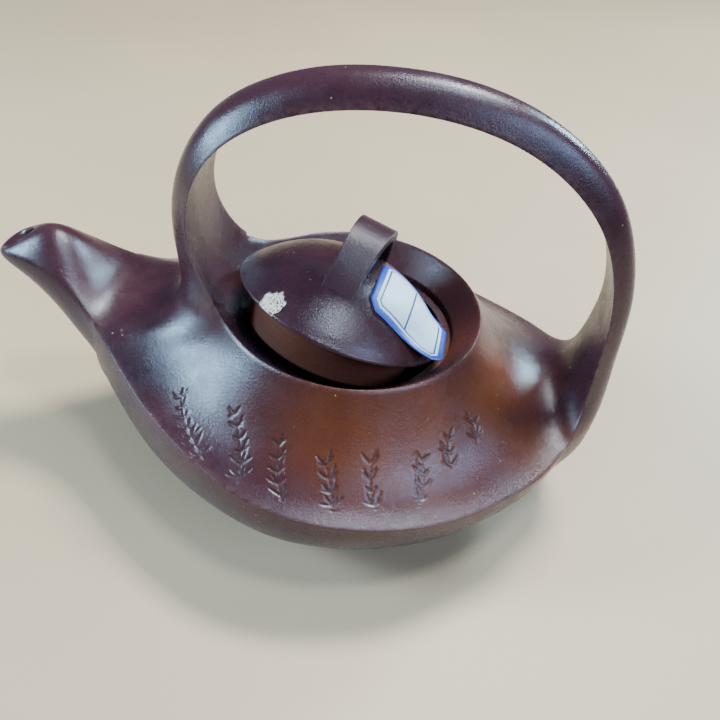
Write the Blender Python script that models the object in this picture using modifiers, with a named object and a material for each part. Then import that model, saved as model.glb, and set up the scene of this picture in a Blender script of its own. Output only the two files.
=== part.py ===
"""Low clay teapot with an overhead ribbon handle.

One sharp edge runs round the whole pot: from the spout tip along the rim of the bowl to the tail,
up and over as the edge of the ribbon handle, and down into the ridge of the mouth collar.
The pot is luted from separate clay pieces, and the lid lies crooked in its seat.

Frame: origin at the middle of the base, +Z up, spout towards -X, tail and handle root towards +X.
"""
import math

import bmesh
import bpy
from mathutils import Euler, Vector

MM = 0.001
GAP = 0.3                   # joint left between neighbouring pieces, mm
WALL = 3.2                  # clay wall, mm
FORM_LEVELS = 1             # smoothing of the pot's form

# The cage has COLUMNS columns round the mouth. Column 0 is the tail, column HALF the spout.
COLUMNS = 32
HALF = COLUMNS // 2
SPAN = 2                    # the ribbon and the spout are SPAN columns wide to each side

# Mouth: turned rings as (radius, height), from the hole edge out to the collar ridge.
HOLE_RADIUS = 36.8
HOLE_BOTTOM = 64.4
SEAT_RINGS = [(36.8, 67.8), (40.5, 67.8), (40.8, 70.6), (45.0, 75.0)]
RIDGE = (50.0, 80.6)
RIDGE_NEAR_LEG = (-42.6, 29.0, 82.4)

# Rim edge (x, half width, z) for columns 3 to 13, from tail to spout.
RIM = [(78.6, 46.0, 48.4), (64.8, 58.4, 46.5), (45.2, 71.4, 45.4), (22.4, 79.2, 45.8),
       (0.0, 82.0, 47.0), (-20.5, 79.5, 49.0), (-38.5, 71.5, 51.2), (-54.5, 61.5, 53.7),
       (-68.0, 50.8, 56.4), (-79.0, 40.3, 59.5), (-88.0, 31.6, 63.3)]

# Ribbon handle stations: edge x, edge z, half width, inner face middle x, z, outer face middle x, z.
RIBBON = [
    (88.0, 51.0, 33.2, 83.0, 57.5, 103.0, 45.0),
    (91.6, 57.4, 25.4, 88.4, 62.5, 104.6, 57.5),
    (93.0, 66.0, 19.2, 91.8, 70.0, 104.0, 70.2),
    (93.6, 80.0, 15.0, 93.3, 82.0, 103.0, 85.4),
    (93.0, 97.0, 11.6, 93.0, 97.5, 101.4, 101.0),
    (88.4, 114.0, 10.0, 88.4, 114.0, 96.4, 118.0),
    (79.6, 130.6, 9.5, 79.6, 130.6, 86.6, 137.2),
    (64.4, 145.0, 9.0, 64.4, 145.0, 69.8, 153.4),
    (45.8, 154.8, 9.2, 45.8, 154.8, 49.2, 164.2),
    (26.0, 159.6, 9.8, 26.0, 159.6, 27.6, 169.4),
    (7.0, 160.6, 10.4, 7.0, 160.6, 6.4, 170.2),
    (-13.0, 158.4, 11.5, -13.0, 158.4, -15.4, 167.8),
    (-31.5, 152.6, 13.2, -31.5, 152.6, -35.8, 160.6),
    (-46.5, 143.0, 15.2, -46.5, 143.0, -52.6, 149.6),
    (-55.5, 130.4, 16.6, -55.5, 130.4, -63.2, 134.4),
    (-59.0, 116.4, 17.6, -59.2, 116.4, -68.2, 117.8),
    (-57.6, 104.0, 19.4, -58.2, 103.0, -68.6, 102.0),
    (-52.8, 94.0, 21.4, -55.2, 92.0, -67.6, 88.0),
    (-48.2, 87.4, 24.2, -51.6, 83.4, -68.4, 77.0),
]

# Spout stations, same columns: edge x, edge z, half width, top middle x, z, under middle x, z.
SPOUT = [
    (-96.0, 68.7, 24.3, -97.0, 73.0, -96.0, 39.5),
    (-104.5, 76.2, 18.2, -103.6, 82.2, -106.5, 49.5),
    (-112.8, 81.6, 15.2, -109.6, 89.8, -116.5, 61.0),
    (-120.8, 84.0, 13.4, -114.8, 93.6, -129.0, 71.8),
    (-128.4, 85.0, 11.2, -119.8, 94.2, -140.5, 78.2),
]
SPOUT_TIP = (-133.0, 86.2, 8.2, -124.2, 92.0, -142.0, 81.2)
RIBBON_FLANK = (0.60, 0.86)     # halfway point of the convex face: share of width, of thickness
SPOUT_FLANKS = [(1.15, 0.74), (1.30, 0.79), (1.18, 0.77), (1.02, 0.72), (0.96, 0.70), (0.96, 0.72)]
BORE_FLANK = (0.96, 0.72)
BORE_SHARE = [0.82, 0.76, 0.70, 0.58, 0.44]     # bore section as a share of the spout section
TIP_BORE_SHARE = 0.74

# Shoulder between collar and rim: rows at these shares of the way, falling as a power curve.
SHOULDER_ROWS = [0.14, 0.42, 0.74]
SHOULDER_POWER = 1.8
SADDLE_DIP = {0: 3.0, 1: 2.6, 2: 2.0, 3: 1.2, 4: 0.6, 11: 0.6, 12: 1.6, 13: 3.4, 14: 5.4, 15: 4.4, 16: 4.4}

# Bowl below the rim: (share of the way out from the base edge, share of the rim height).
BOWL_ROWS = [(0.985, 0.81), (0.83, 0.49), (0.50, 0.20), (0.13, 0.04)]
FLANK_BULGE = {7: 0.02, 8: 0.055, 9: 0.10, 10: 0.14, 11: 0.16, 12: 0.16, 13: 0.15, 14: 0.12}
BASE_RADIUS = 43.0
FLOOR_RADIUS = 24.0

# Seams of the luted pieces.
BASE_SEAM = 4.0
SPOUT_SEAM = -86.0
COLLAR_SEAM_RADIUS = 51.8
RIM_SEAM = [(-150.0, 60.0), (-88.0, 58.5), (-60.0, 51.5), (-20.0, 45.5), (20.0, 42.5), (60.0, 42.5),
            (90.0, 46.0), (150.0, 50.0)]
LEG_SEAM = 89.0
TAIL_SEAM = 66.0

# Strainer: a pierced wall between the tea space and the spout.
STRAINER = (-82.5, -79.5)   # x of its two faces
STRAINER_HOLE_RADIUS = 1.6
STRAINER_ROWS = [(31.0, 2), (37.5, 3), (44.0, 4), (50.5, 3)]
STRAINER_PITCH = 8.0

# Lid, in its own frame: z = 0 at the rim's underside.
LID_RADIUS = 41.0
LID_RIM_THICKNESS = 1.6
LID_HEIGHT = 21.0
LID_WALL = 3.6
LID_CURVE = 2.5
FLANGE_OUTER = 33.2
FLANGE_INNER = 30.2
FLANGE_DEPTH = 15.0
VENT_RADIUS = 1.1
LID_PLACE = (-4.2, -3.4, 79.3)
LID_TILT = (-15.5, 16.0)    # about X and Y, degrees
LID_SEGMENTS = 48

# Knob: a strap bent into an arch, standing across the lid.
KNOB_WIDTH = 14.2
KNOB_TURN = -10.0           # about the lid axis, degrees
KNOB_THICK = 5.0
KNOB_PATH = [(-25.4, 4.0), (-23.2, 12.0), (-18.6, 21.5), (-12.4, 29.5), (-4.6, 33.2), (4.4, 33.2),
             (11.8, 29.3), (16.4, 21.5), (19.2, 13.0), (20.6, 6.0)]

# Paper label on the lid.
LABEL_SIZE = (30.6, 29.0)     # in plan: it slopes down the dome
LABEL_CENTRE = (24.6, -9.6)
LABEL_TURN = -3.0
LABEL_THICK = 0.35
LABEL_CLEAR = 0.55
LABEL_CORNER = 3.5
LABEL_LEAVES = 35.5           # radius where the paper leaves the dome and goes straight on

CLAY = (0.105, 0.040, 0.045)
CLAY_WARM = (0.20, 0.075, 0.045)
PAPER = (0.78, 0.84, 0.86)


def clear_scene():
    for item in list(bpy.data.objects):
        bpy.data.objects.remove(item, do_unlink=True)


def make_collection(name):
    made = bpy.data.collections.new(name)
    bpy.context.scene.collection.children.link(made)
    return made


def make_material(name, colour, roughness):
    made = bpy.data.materials.new(name)
    made.use_nodes = True
    shader = made.node_tree.nodes["Principled BSDF"]
    shader.inputs["Base Color"].default_value = (*colour, 1.0)
    shader.inputs["Roughness"].default_value = roughness
    shader.inputs["Metallic"].default_value = 0.0
    return made


def add_object(name, mesh, collection, material=None):
    made = bpy.data.objects.new(name, mesh)
    collection.objects.link(made)
    if material:
        mesh.materials.clear()
        mesh.materials.append(material)
    return made


def make_cutter(item):
    item.hide_render = True
    item.display_type = "WIRE"
    return item


def add_boolean(item, cutter, operation):
    step = item.modifiers.new(operation.lower() + "_" + cutter.name, "BOOLEAN")
    step.operation = operation
    step.object = cutter
    step.solver = "EXACT"


def add_smoothing(item, levels):
    step = item.modifiers.new("smooth_form", "SUBSURF")
    step.levels = levels
    step.render_levels = levels


# ---------------------------------------------------------------- the pot's form


class Cage:
    """A quad cage whose vertices are looked up by name."""

    def __init__(self):
        self.points = []
        self.index = {}
        self.faces = []
        self.sharp = {}

    def put(self, key, point):
        if key not in self.index:
            self.index[key] = len(self.points)
            self.points.append(Vector(point) * MM)
        return key

    def face(self, *keys):
        self.faces.append([self.index[key] for key in keys])

    def crease(self, first, second, value):
        pair = sorted((self.index[first], self.index[second]))
        self.sharp[tuple(pair)] = value

    def strip(self, first, second, closed=True):
        """Quads between two rows of keys of equal length."""
        count = len(first) if closed else len(first) - 1
        for place in range(count):
            after = (place + 1) % len(first)
            self.face(first[place], first[after], second[after], second[place])

    def mesh(self, name):
        made = bpy.data.meshes.new(name)
        made.from_pydata(self.points, [], self.faces)
        layer = made.attributes.new("crease_edge", "FLOAT", "EDGE")
        for edge in made.edges:
            pair = tuple(sorted(edge.vertices))
            layer.data[edge.index].value = self.sharp.get(pair, 0.0)
        work = bmesh.new()
        work.from_mesh(made)
        bmesh.ops.recalc_face_normals(work, faces=work.faces)
        work.to_mesh(made)
        work.free()
        made.shade_smooth()
        return made


def column_angle(column):
    return 2.0 * math.pi * column / COLUMNS


def ring_point(column, radius, height):
    angle = column_angle(column)
    return Vector((radius * math.cos(angle), radius * math.sin(angle), height))


def fold(column):
    """Column on the +Y half, and the side it lies on."""
    column %= COLUMNS
    if column > HALF:
        return COLUMNS - column, -1.0
    return column, 1.0


def sided(point, side):
    return Vector((point[0], point[1] * side, point[2]))


def through(stations):
    """Stations moved outward, so that the smoothed form runs through the given ones."""
    moved = [stations[0]]
    for before, here, after in zip(stations, stations[1:], stations[2:]):
        moved.append(tuple(h + (2.0 * h - b - a) / 6.0 for b, h, a in zip(before, here, after)))
    return moved + [stations[-1]]


def section(station, across, outer, flank=RIBBON_FLANK):
    """Point of a ribbon or spout section. across runs from -SPAN to SPAN."""
    edge_x, edge_z, half_width, inner_x, inner_z, outer_x, outer_z = station
    share = across / SPAN
    if outer:
        side = (share > 0.0) - (share < 0.0)
        bulge = {0: 1.0, 1: flank[1], SPAN: 0.0}[abs(across)]
        place = {0: 0.0, 1: flank[0] * side, SPAN: share}[abs(across)]
        middle = Vector((outer_x, 0.0, outer_z))
    else:
        bulge = 1.0 - share * share
        place = share
        middle = Vector((inner_x, 0.0, inner_z))
    edge = Vector((edge_x, 0.0, edge_z))
    point = edge.lerp(middle, bulge)
    point.y = place * half_width
    return point


RIM_LINE = through([(84.0, 31.5, 51.0)] + RIM + [(-96.0, 24.3, 68.7)])[1:-1]


def ridge_point(column):
    half, side = fold(column)
    if half == HALF - SPAN:
        return sided(section(RIBBON[-1], SPAN, False), side)
    if half == HALF - SPAN - 1:
        return sided(RIDGE_NEAR_LEG, side)
    return ring_point(column, *RIDGE)


def rim_point(column):
    half, side = fold(column)
    if half == SPAN:
        return sided(section(RIBBON[0], SPAN, False), side)
    if half == HALF - SPAN:
        return sided(section(SPOUT[0], SPAN, False), side)
    return sided(RIM_LINE[half - SPAN - 1], side)


def shoulder_top(column):
    """Where the shoulder starts: the collar ridge, or the outer face of the handle's leg."""
    half, side = fold(column)
    if half > HALF - SPAN:
        return sided(section(RIBBON[-1], HALF - half, True), side)
    return ridge_point(column)


def shoulder_foot(column):
    """Where the shoulder ends: the rim, the handle's inner face or the top of the spout."""
    half, side = fold(column)
    if half < SPAN:
        return sided(section(RIBBON[0], half, False), side)
    if half > HALF - SPAN:
        return sided(section(SPOUT[0], HALF - half, False), side)
    return rim_point(column)


def bowl_top(column):
    half, side = fold(column)
    if half < SPAN:
        return sided(section(RIBBON[0], half, True), side)
    if half > HALF - SPAN:
        return sided(section(SPOUT[0], HALF - half, True, SPOUT_FLANKS[0]), side)
    return rim_point(column)


def shoulder_point(column, share):
    top = shoulder_top(column)
    foot = shoulder_foot(column)
    point = top.lerp(foot, share)
    point.z = foot.z + (top.z - foot.z) * (1.0 - share) ** SHOULDER_POWER
    dip = SADDLE_DIP.get(fold(column)[0], 0.0)
    point.z -= dip * 6.75 * share * (1.0 - share) ** 2
    return point


def bowl_point(column, out_share, height_share):
    top = bowl_top(column)
    foot = ring_point(column, BASE_RADIUS, 0.0)
    bulge = FLANK_BULGE.get(fold(column)[0], 0.0)
    point = foot.lerp(top, out_share + bulge * 4.0 * height_share * (1.0 - height_share))
    point.z = top.z * height_share
    return point


def ring_keys(name):
    return [(name, column) for column in range(COLUMNS)]


def put_ring(cage, name, place):
    for column in range(COLUMNS):
        cage.put((name, column), place(column))
    return ring_keys(name)


def loop_keys(name, station):
    """Keys once round a tube section: the inner face, then back along the outer face."""
    inner = [(name, station, "in", across) for across in range(-SPAN, SPAN + 1)]
    outer = [(name, station, "out", across) for across in range(SPAN - 1, -SPAN, -1)]
    return inner + outer


def put_section(cage, name, station, values, flank):
    for key in loop_keys(name, station):
        cage.put(key, section(values, key[3], key[2] == "out", flank))
    return loop_keys(name, station)


def outer_skin(cage):
    """The skin seen from outside: mouth, shoulder, bowl, ribbon handle and spout."""
    rows = []
    for number, (radius, height) in enumerate(SEAT_RINGS):
        rows.append(put_ring(cage, "seat%d" % number, lambda c: ring_point(c, radius, height)))
    for first, second in zip(rows, rows[1:]):
        cage.strip(first, second)

    ridge = {}
    rim = {}
    for column in range(COLUMNS):
        half = fold(column)[0]
        if half <= HALF - SPAN:
            ridge[column] = cage.put(("ridge", column), ridge_point(column))
        if SPAN <= half <= HALF - SPAN:
            rim[column] = cage.put(("rim", column), rim_point(column))

    # Ribbon: its side edges start at the rim and end in the collar ridge.
    last = len(RIBBON) - 1
    for across in (-SPAN, SPAN):
        cage.index[("ribbon", 0, "in", across)] = cage.index[("rim", across % COLUMNS)]
        cage.index[("ribbon", last, "in", across)] = cage.index[("ridge", HALF - across)]
        cage.index[("spout", 0, "in", across)] = cage.index[("rim", HALF - across)]
    loops = [put_section(cage, "ribbon", place, values, RIBBON_FLANK)
             for place, values in enumerate(through(RIBBON))]
    for first, second in zip(loops, loops[1:]):
        cage.strip(first, second)
        for side in (0, 2 * SPAN):
            cage.crease(first[side], second[side], 1.0)

    # Spout: top face is the inner face of its sections, under face the outer one.
    mouths = [put_section(cage, "spout", place, values, SPOUT_FLANKS[place])
              for place, values in enumerate(SPOUT + [SPOUT_TIP])]
    for place, (first, second) in enumerate(zip(mouths, mouths[1:])):
        cage.strip(first, second)
        fading = 0.9 - 0.12 * place
        for side in (0, 2 * SPAN):
            cage.crease(first[side], second[side], fading)

    def top_key(column):
        half, side = fold(column)
        across = int(side * (HALF - half))
        return ("ribbon", last, "out", across) if half > HALF - SPAN else ridge[column % COLUMNS]

    def inside_leg_key(column):
        half, side = fold(column)
        across = int(side * (HALF - half))
        return ("ribbon", last, "in", across) if half > HALF - SPAN else ridge[column % COLUMNS]

    def foot_key(column):
        half, side = fold(column)
        if half < SPAN:
            return ("ribbon", 0, "in", int(side * half))
        across = int(side * (HALF - half))
        return ("spout", 0, "in", across) if half > HALF - SPAN else rim[column % COLUMNS]

    def bowl_key(column):
        half, side = fold(column)
        if half < SPAN:
            return ("ribbon", 0, "out", int(side * half))
        across = int(side * (HALF - half))
        return ("spout", 0, "out", across) if half > HALF - SPAN else rim[column % COLUMNS]

    columns = range(COLUMNS)
    cage.strip(rows[-1], [inside_leg_key(column) for column in columns])
    shoulder = [[top_key(column) for column in columns]]
    for number, share in enumerate(SHOULDER_ROWS):
        shoulder.append(put_ring(cage, "shoulder%d" % number, lambda c: shoulder_point(c, share)))
    shoulder.append([foot_key(column) for column in columns])
    for first, second in zip(shoulder, shoulder[1:]):
        cage.strip(first, second)

    bowl = [[bowl_key(column) for column in columns]]
    for number, (out_share, height) in enumerate(BOWL_ROWS):
        bowl.append(put_ring(cage, "bowl%d" % number, lambda c: bowl_point(c, out_share, height)))
    bowl.append(put_ring(cage, "base", lambda c: ring_point(c, BASE_RADIUS, 0.0)))
    bowl.append(put_ring(cage, "floor", lambda c: ring_point(c, FLOOR_RADIUS, 0.0)))
    for first, second in zip(bowl, bowl[1:]):
        cage.strip(first, second)
    cage.face(*bowl[-1])

    for column in columns:
        after = (column + 1) % COLUMNS
        if column in ridge and after in ridge:
            cage.crease(ridge[column], ridge[after], 0.75)
        if column in rim and after in rim:
            cage.crease(rim[column], rim[after], 1.0)
        cage.crease(("base", column), ("base", after), 0.8)
        for name, value in (("seat0", 0.9), ("seat1", 0.9), ("seat2", 0.8)):
            cage.crease((name, column), (name, after), value)


def cavity_point(column, row, wall):
    """Inside skin of the bowl, for rows below the rim."""
    out_share, height = BOWL_ROWS[row]
    point = bowl_point(column, out_share, height)
    flat = Vector((point.x, point.y, 0.0)).normalized()
    slope = (0.98, 0.80, 0.45, 0.30)[row]
    point -= flat * wall * slope
    point.z += wall * (1.0 - slope) * 1.5
    return point


def ceiling_point(column, share, wall):
    """Inside skin of the shoulder."""
    point = shoulder_point(column, share)
    flat = Vector((point.x, point.y, 0.0)).normalized()
    point -= flat * wall * 0.45
    point.z -= wall * 1.05
    return point


def cavity_rim_point(column, wall):
    """Widest line of the tea space, just inside the rim."""
    half, side = fold(column)
    if half < SPAN:
        point = sided(section(RIBBON[0], half, False), side).lerp(bowl_top(column), 0.25)
        point.z -= 2.0 * wall
    else:
        point = rim_point(column)
        point.z -= 1.6 * wall
    flat = Vector((point.x, point.y, 0.0)).normalized()
    return point - flat * wall * 1.25


def bore_section(values, share, across, outer):
    edge_x, edge_z, half_width, top_x, top_z, under_x, under_z = values
    middle = Vector(((top_x + under_x) / 2.0, 0.0, (top_z + under_z) / 2.0))
    return middle.lerp(section(values, across, outer, BORE_FLANK), share)


def bore_loop(cage, place, values, share):
    keys = loop_keys("bore", place)
    for key in keys:
        cage.put(key, bore_section(values, share, key[3], key[2] == "out"))
    return keys


def inner_skin(cage, wall, join_outer):
    """The tea space and the spout bore. Joined to the outer skin at the mouth and at the tip."""
    hole = put_ring(cage, "throat", lambda c: ring_point(c, HOLE_RADIUS - (WALL - wall), HOLE_BOTTOM))
    under = put_ring(cage, "under", lambda c: ring_point(c, HOLE_RADIUS + 5.0, HOLE_BOTTOM - 1.0))
    cage.strip(hole, under)
    first_key = under

    stations = SPOUT + [SPOUT_TIP]
    shares = BORE_SHARE + [TIP_BORE_SHARE]
    shrink = (WALL - wall) * 0.03
    loops = [bore_loop(cage, place, values, share + shrink)
             for place, (values, share) in enumerate(zip(stations, shares))]

    def is_spout(column):
        return fold(column)[0] >= HALF - SPAN

    def spout_key(column, outer):
        half, side = fold(column)
        across = int(side * (HALF - half))
        face = "out" if outer and abs(across) < SPAN else "in"
        return ("bore", 0, face, across)

    rows = [first_key]
    for number, share in enumerate(SHOULDER_ROWS):
        rows.append(put_ring(cage, "ceiling%d" % number, lambda c: ceiling_point(c, share, wall)))
    widest = {}
    for column in range(COLUMNS):
        if not is_spout(column):
            widest[column] = cage.put(("widest", column), cavity_rim_point(column, wall))
    columns = range(COLUMNS)
    rows.append([spout_key(c, False) if is_spout(c) else widest[c] for c in columns])
    for first, second in zip(rows, rows[1:]):
        cage.strip(first, second)

    rows = [[spout_key(c, True) if is_spout(c) else widest[c] for c in columns]]
    for number in range(len(BOWL_ROWS) - 1):
        rows.append(put_ring(cage, "cavity%d" % number, lambda c: cavity_point(c, number, wall)))
    floor_height = BASE_SEAM - 0.3 + (wall - WALL)
    rows.append(put_ring(cage, "inside_base", lambda c: ring_point(c, BASE_RADIUS, floor_height)))
    rows.append(put_ring(cage, "inside_floor", lambda c: ring_point(c, FLOOR_RADIUS, floor_height)))
    for first, second in zip(rows, rows[1:]):
        cage.strip(first, second)
    cage.face(*rows[-1])

    for first, second in zip(loops, loops[1:]):
        cage.strip(first, second)
    if join_outer:
        cage.strip(ring_keys("seat0"), hole)
        cage.strip(loop_keys("spout", len(SPOUT)), loops[-1])
        for column in columns:
            after = (column + 1) % COLUMNS
            cage.crease(("throat", column), ("throat", after), 0.8)
    else:
        cage.face(*hole)
        cage.face(*loops[-1])


def pot_form():
    cage = Cage()
    outer_skin(cage)
    inner_skin(cage, WALL, True)
    return cage.mesh("pot_form")


def tea_space(wall):
    cage = Cage()
    inner_skin(cage, wall, False)
    return cage.mesh("tea_space")


# ---------------------------------------------------------------- cutters


def prism(name, outline, cutters, half_depth=110.0):
    """Solid with an outline in the XZ plane, run through along Y."""
    work = bmesh.new()
    corners = [work.verts.new((x * MM, -half_depth * MM, z * MM)) for x, z in outline]
    front = work.faces.new(corners)
    made = bmesh.ops.extrude_face_region(work, geom=[front])
    moved = [item for item in made["geom"] if isinstance(item, bmesh.types.BMVert)]
    bmesh.ops.translate(work, verts=moved, vec=(0.0, 2.0 * half_depth * MM, 0.0))
    bmesh.ops.recalc_face_normals(work, faces=work.faces)
    mesh = bpy.data.meshes.new(name)
    work.to_mesh(mesh)
    work.free()
    return make_cutter(add_object(name, mesh, cutters))


def cylinder(name, radius, low, high, cutters, segments=64):
    work = bmesh.new()
    bmesh.ops.create_cone(work, cap_ends=True, segments=segments, radius1=radius * MM,
                          radius2=radius * MM, depth=(high - low) * MM)
    bmesh.ops.translate(work, verts=work.verts, vec=(0.0, 0.0, (high + low) / 2.0 * MM))
    mesh = bpy.data.meshes.new(name)
    work.to_mesh(mesh)
    work.free()
    return make_cutter(add_object(name, mesh, cutters))


def rim_seam(offset, low_x, high_x):
    """The seam line under the rim between two x values, as outline points."""
    def height(x):
        for (x0, z0), (x1, z1) in zip(RIM_SEAM, RIM_SEAM[1:]):
            if x0 <= x <= x1:
                return z0 + (z1 - z0) * (x - x0) / (x1 - x0)
        return RIM_SEAM[-1][1]
    inner = [x for x, _ in RIM_SEAM if low_x < x < high_x]
    return [(x, height(x) + offset) for x in [low_x] + inner + [high_x]]


# ---------------------------------------------------------------- pot pieces


def pot_pieces(parts, cutters, clay, warm):
    form = pot_form()
    half = GAP / 2.0
    body_x = SPOUT_SEAM + half

    def piece(name, material, keep, remove=()):
        mesh = form.copy()
        item = add_object(name, mesh, parts, material)
        add_smoothing(item, FORM_LEVELS)
        for cutter in keep:
            add_boolean(item, cutter, "INTERSECT")
        for cutter in remove:
            add_boolean(item, cutter, "DIFFERENCE")
        return item

    base_block = prism("base_block", [(-100, -5), (100, -5), (100, BASE_SEAM - half),
                                      (-100, BASE_SEAM - half)], cutters)
    piece("base_disc", clay, [base_block])

    seam = rim_seam(-half, body_x, 150.0)
    bowl_block = prism("bowl_block", [(body_x, BASE_SEAM + half), (150, BASE_SEAM + half)]
                       + seam[::-1], cutters)
    piece("body_bowl", clay, [bowl_block])

    collar_block = cylinder("collar_block", COLLAR_SEAM_RADIUS - half, 55.0, LEG_SEAM - half, cutters)
    collar_clear = cylinder("collar_clear", COLLAR_SEAM_RADIUS + half, 40.0, 100.0, cutters)
    piece("mouth_collar", warm, [collar_block])

    seam = rim_seam(half, body_x, 150.0)
    shoulder_block = prism("shoulder_block", seam + [(150, TAIL_SEAM - half), (76, TAIL_SEAM - half),
                                                     (62, LEG_SEAM - half), (body_x, LEG_SEAM - half)],
                           cutters)
    piece("shoulder", warm, [shoulder_block], [collar_clear])

    handle_block = prism("handle_block", [(-82, LEG_SEAM + half), (62, LEG_SEAM + half),
                                          (76, TAIL_SEAM + half), (150, TAIL_SEAM + half),
                                          (150, 200), (-82, 200)], cutters)
    piece("overhead_handle", clay, [handle_block])

    spout_block = prism("spout_block", [(-160, 10), (SPOUT_SEAM - half, 10),
                                        (SPOUT_SEAM - half, 120), (-160, 120)], cutters)
    piece("spout", clay, [spout_block])


def strainer(parts, cutters, clay):
    space = add_object("tea_space", tea_space(WALL + GAP), cutters)
    add_smoothing(space, FORM_LEVELS)
    make_cutter(space)
    low, high = STRAINER
    work = bmesh.new()
    bmesh.ops.create_cube(work, size=1.0)
    bmesh.ops.scale(work, verts=work.verts, vec=((high - low) * MM, 120 * MM, 80 * MM))
    bmesh.ops.translate(work, verts=work.verts, vec=((high + low) / 2 * MM, 0.0, 45 * MM))
    mesh = bpy.data.meshes.new("spout_strainer")
    work.to_mesh(mesh)
    work.free()
    item = add_object("spout_strainer", mesh, parts, clay)
    add_boolean(item, space, "INTERSECT")

    work = bmesh.new()
    turn = Euler((0.0, math.pi / 2.0, 0.0)).to_matrix().to_4x4()
    for height, count in STRAINER_ROWS:
        for number in range(count):
            across = (number - (count - 1) / 2.0) * STRAINER_PITCH
            made = bmesh.ops.create_cone(work, cap_ends=True, segments=10, depth=12 * MM,
                                         radius1=STRAINER_HOLE_RADIUS * MM,
                                         radius2=STRAINER_HOLE_RADIUS * MM, matrix=turn)
            move = ((low + high) / 2 * MM, across * MM, height * MM)
            bmesh.ops.translate(work, verts=made["verts"], vec=move)
    mesh = bpy.data.meshes.new("strainer_holes")
    work.to_mesh(mesh)
    work.free()
    add_boolean(item, make_cutter(add_object("strainer_holes", mesh, cutters)), "DIFFERENCE")


# ---------------------------------------------------------------- lid


def dome_height(radius):
    share = min(radius / LID_RADIUS, 1.0)
    return LID_RIM_THICKNESS + (LID_HEIGHT - LID_RIM_THICKNESS) * (1.0 - share ** LID_CURVE)


def turned(name, profile, segments, collection, material=None):
    """Solid turned about Z from a profile that runs from its inner top down its outer side."""
    mesh = bpy.data.meshes.new(name)
    points = [(radius * MM, 0.0, height * MM) for radius, height in profile]
    closed = profile[0][0] > 0.0
    edges = [(place, place + 1) for place in range(len(points) - 1)]
    if closed:
        edges.append((len(points) - 1, 0))
    mesh.from_pydata(points, edges, [])
    item = add_object(name, mesh, collection, material)
    screw = item.modifiers.new("turn", "SCREW")
    screw.steps = segments
    screw.render_steps = segments
    screw.use_merge_vertices = True
    screw.merge_threshold = 0.00001
    screw.use_smooth_shade = True
    return item


def lid_dome_profile():
    outside = [(radius, dome_height(radius)) for radius in (0, 6, 13, 20, 26, 31, 35, 38, 39.8)]
    rim = [(LID_RADIUS - 0.3, LID_RIM_THICKNESS + 0.4), (LID_RADIUS, LID_RIM_THICKNESS - 0.5),
           (LID_RADIUS - 0.6, 0.0)]
    inside = [(radius, dome_height(radius) - LID_WALL) for radius in (28.0, 20.0, 10.0, 0.0)]
    return outside + rim + [(FLANGE_INNER, 0.0)] + inside


def lid_pieces(parts, cutters, clay, warm, paper):
    place = bpy.data.objects.new("lid_place", None)
    parts.objects.link(place)
    place.location = Vector(LID_PLACE) * MM
    place.rotation_euler = Euler((math.radians(LID_TILT[0]), math.radians(LID_TILT[1]), 0.0), "YXZ")

    dome = turned("lid_dome", lid_dome_profile(), LID_SEGMENTS, parts, clay)
    flange = turned("lid_flange", [(FLANGE_INNER, -GAP), (FLANGE_OUTER, -GAP),
                                   (FLANGE_OUTER - 0.3, -FLANGE_DEPTH + 0.6),
                                   (FLANGE_OUTER - 0.9, -FLANGE_DEPTH),
                                   (FLANGE_INNER + 0.5, -FLANGE_DEPTH),
                                   (FLANGE_INNER, -FLANGE_DEPTH + 0.6)], LID_SEGMENTS, parts, warm)
    knob = lid_knob(parts, cutters, clay)
    label = price_label(parts, paper)
    vent = cylinder("vent", VENT_RADIUS, 0.0, 30.0, cutters, 12)
    vent.parent = place
    vent.location = (0.0, 0.0, 0.0)
    add_boolean(dome, vent, "DIFFERENCE")
    for item in (dome, flange, knob, label):
        item.parent = place
    return place


def lid_knob(parts, cutters, clay):
    """Strap arch, cut to the dome with a small gap."""
    mesh = bpy.data.meshes.new("lid_knob")
    points = []
    faces = []
    for y, z in KNOB_PATH:
        points += [(-KNOB_WIDTH / 2 * MM, y * MM, z * MM), (0.0, y * MM, z * MM),
                   (KNOB_WIDTH / 2 * MM, y * MM, z * MM)]
    for step in range(len(KNOB_PATH) - 1):
        low = 3 * step
        faces += [(low, low + 1, low + 4, low + 3), (low + 1, low + 2, low + 5, low + 4)]
    mesh.from_pydata(points, [], faces)
    item = add_object("lid_knob", mesh, parts, clay)
    item.data.shade_smooth()
    item.rotation_euler = (0.0, 0.0, math.radians(KNOB_TURN))
    solid = item.modifiers.new("strap", "SOLIDIFY")
    solid.thickness = KNOB_THICK * MM
    solid.offset = 0.0
    bevel = item.modifiers.new("round_edges", "BEVEL")
    bevel.width = 0.9 * MM
    bevel.segments = 2
    bevel.limit_method = "ANGLE"
    bevel.angle_limit = math.radians(50)
    cut = [(0, dome_height(0) + GAP)]
    cut += [(radius, dome_height(radius) + GAP) for radius in (6, 13, 20, 26, 31, 35, 38)]
    cut += [(45.0, 0.0), (45.0, -20.0), (0.0, -20.0)]
    clear = make_cutter(turned("dome_clear", cut, LID_SEGMENTS, cutters))
    clear.parent = bpy.data.objects["lid_place"]
    add_boolean(item, clear, "DIFFERENCE")
    return item


def label_point(u, v):
    """Point over the dome for a place on the label, u along it and v across it."""
    turn = math.radians(LABEL_TURN)
    x = LABEL_CENTRE[0] + u * math.cos(turn) - v * math.sin(turn)
    y = LABEL_CENTRE[1] + u * math.sin(turn) + v * math.cos(turn)
    radius = math.hypot(x, y)
    height = dome_height(min(radius, LABEL_LEAVES))
    if radius > LABEL_LEAVES:
        slope = (dome_height(LABEL_LEAVES - 1.0) - dome_height(LABEL_LEAVES)) * 0.8
        height -= slope * (radius - LABEL_LEAVES)
    return Vector((x, y, height + LABEL_CLEAR)) * MM


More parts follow.
